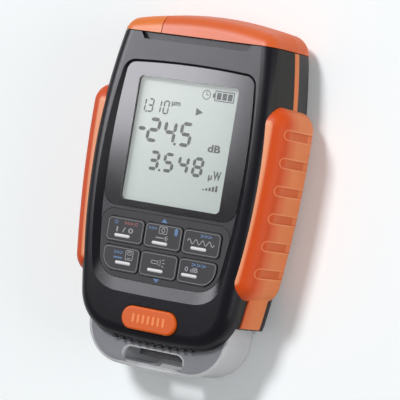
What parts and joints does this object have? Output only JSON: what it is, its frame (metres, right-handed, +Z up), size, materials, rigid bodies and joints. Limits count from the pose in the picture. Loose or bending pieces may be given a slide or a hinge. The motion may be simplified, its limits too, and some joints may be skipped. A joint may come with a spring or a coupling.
{
  "type": "optical power meter",
  "caption": "Palm-size optical fibre power meter with a display, soft keys, hinged port covers and a clip-on cable tester at its foot.",
  "frame": {"origin": "middle of the back face on the ground, with the meter lying on its back", "axes": "+X to the right as the display is read, +Y along the meter towards its ports, +Z up out of the display"},
  "size_m": [0.0738, 0.1172, 0.0288],
  "materials": {
    "grip": "satin",
    "window": "gloss",
    "keypad": "matte",
    "keys": "matte",
    "button": "satin",
    "housing": "satin",
    "cover": "satin",
    "cover_small": "satin",
    "deck": "matte",
    "adapter": "satin",
    "sensor_can": "satin",
    "module_brass": "satin",
    "socket_plastic": "satin",
    "contact_gold": "gloss",
    "board": "satin",
    "lcd": "satin",
    "light_guide": "satin",
    "cell": "gloss",
    "spring_steel": "satin",
    "screw_steel": "satin",
    "clear_case": "gloss",
    "lamp": "gloss"
  },
  "bodies": {
    "meter": {"backlight": "light_guide", "battery_left": "cell", "battery_middle": "cell", "battery_right": "cell", "contact_springs": "spring_steel", "contact_strips": "spring_steel", "display_window": "window", "front_shell": "housing", "hinge_pin": "screw_steel", "key_domes": "spring_steel", "keypad_frame": "keypad", "laser_module": "module_brass", "laser_port": "adapter", "lcd_panel": "lcd", "left_grip": "grip", "light_sensor": "sensor_can", "main_board": "board", "meter_port": "adapter", "network_pins": "contact_gold", "network_socket": "socket_plastic", "port_deck": "deck", "rear_shell": "housing", "right_grip": "grip", "shell_screws": "screw_steel", "torch_lamp": "lamp"},
    "key_power": {"key_power": "keys"},
    "key_laser": {"key_laser": "keys"},
    "key_wavelength": {"key_wavelength": "keys"},
    "key_save": {"key_save": "keys"},
    "key_torch": {"key_torch": "keys"},
    "key_reference": {"key_reference": "keys"},
    "release_button": {"release_button": "button"},
    "small_port_cover": {"small_port_cover": "cover_small"},
    "large_port_cover": {"large_port_cover": "cover"},
    "battery_door": {"battery_door": "housing"},
    "tester": {"tester_housing": "clear_case", "tester_lid": "clear_case", "tester_socket": "socket_plastic", "tester_pins": "contact_gold"}
  },
  "joints": [
    {"name": "key_power_press", "type": "slide", "parent": "meter", "child": "key_power", "axis": [0, 0, -1], "range_m": [0, 0.0004], "stiffness_N_per_m": 1500},
    {"name": "key_laser_press", "type": "slide", "parent": "meter", "child": "key_laser", "axis": [0, 0, -1], "range_m": [0, 0.0004], "stiffness_N_per_m": 1500},
    {"name": "key_wavelength_press", "type": "slide", "parent": "meter", "child": "key_wavelength", "axis": [0, 0, -1], "range_m": [0, 0.0004], "stiffness_N_per_m": 1500},
    {"name": "key_save_press", "type": "slide", "parent": "meter", "child": "key_save", "axis": [0, 0, -1], "range_m": [0, 0.0004], "stiffness_N_per_m": 1500},
    {"name": "key_torch_press", "type": "slide", "parent": "meter", "child": "key_torch", "axis": [0, 0, -1], "range_m": [0, 0.0004], "stiffness_N_per_m": 1500},
    {"name": "key_reference_press", "type": "slide", "parent": "meter", "child": "key_reference", "axis": [0, 0, -1], "range_m": [0, 0.0004], "stiffness_N_per_m": 1500},
    {"name": "release_button_press", "type": "slide", "parent": "meter", "child": "release_button", "axis": [0, 0, -1], "range_m": [0, 0.001], "stiffness_N_per_m": 1500},
    {"name": "small_port_cover_hinge", "type": "hinge", "parent": "meter", "child": "small_port_cover", "pos_m": [0, 0.0512, 0.0025], "axis": [-1, 0, 0], "range_deg": [0, 90]},
    {"name": "large_port_cover_hinge", "type": "hinge", "parent": "meter", "child": "large_port_cover", "pos_m": [0, 0.0512, 0.0025], "axis": [-1, 0, 0], "range_deg": [0, 90]},
    {"name": "tester_slide", "type": "slide", "parent": "meter", "child": "tester", "axis": [0, -1, 0], "range_m": [0, 0.03]},
    {"name": "battery_door_hinge", "type": "hinge", "parent": "meter", "child": "battery_door", "pos_m": [0, 0.0129, 0.0002], "axis": [1, 0, 0], "range_deg": [0, 55]}
  ]
}
